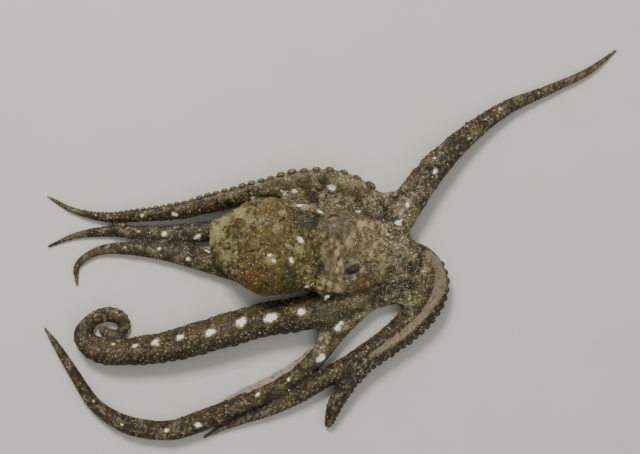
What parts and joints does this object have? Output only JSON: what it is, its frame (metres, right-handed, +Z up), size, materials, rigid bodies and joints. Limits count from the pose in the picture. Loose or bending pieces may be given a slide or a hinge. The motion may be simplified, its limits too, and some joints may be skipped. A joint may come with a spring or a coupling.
{
  "type": "octopus",
  "caption": "Still life-size model of a small octopus lying on a level floor: sack-shaped mantle, head with raised eyes, funnel, web and curving tapered arms, one coiled at its tip.",
  "frame": {"origin": "middle of the footprint's box, on the floor", "axes": "+X the way the head points and the longest extent, +Y the animal's left, +Z up and the shortest extent"},
  "size_m": [0.407, 0.2774, 0.045],
  "materials": {
    "skin": "wet, mottled brown skin with pale spots and fine golden flecks; paler olive and tan on mantle and head",
    "suckers": "dark grey-green sucker sides with paler rims",
    "eyes": "glossy brown-grey eye with a dark slit pupil"
  },
  "bodies": {
    "root": {"eye_left": "eyes", "eye_right": "eyes", "funnel": "skin", "mantle": "skin", "head": "skin", "crown": "skin", "arm_right_1_length_1": "skin", "arm_right_1_length_2": "skin", "arm_right_1_length_3": "skin", "arm_right_1_length_4": "skin", "arm_left_1_length_1": "skin", "arm_left_1_length_2": "skin", "arm_left_1_length_3": "skin", "arm_left_2_length_1": "skin", "arm_left_2_length_2": "skin", "arm_left_2_length_3": "skin", "arm_left_2_length_4": "skin", "arm_right_4_length_1": "skin", "arm_right_4_length_2": "skin", "arm_right_4_length_3": "skin", "arm_right_4_length_4": "skin", "arm_right_4_length_5": "skin", "arm_right_4_length_6": "skin", "arm_right_4_length_7": "skin", "arm_right_4_length_8": "skin", "arm_right_3_length_1": "skin", "arm_right_3_length_2": "skin", "arm_right_3_length_3": "skin", "arm_right_3_length_4": "skin", "arm_right_3_length_5": "skin", "arm_right_2_length_1": "skin", "arm_right_2_length_2": "skin", "arm_right_2_length_3": "skin", "arm_right_2_length_4": "skin", "arm_left_3_length_1": "skin", "arm_left_3_length_2": "skin", "arm_left_3_length_3": "skin", "arm_left_4_length_1": "skin", "arm_left_4_length_2": "skin", "arm_left_4_length_3": "skin", "arm_left_4_length_4": "skin", "web_left_1_to_left_2": "skin", "web_left_2_to_left_3": "skin", "web_right_4_to_right_3": "skin", "web_right_3_to_right_2": "skin", "arm_right_3_fin": "skin"}
  },
  "joints": []
}
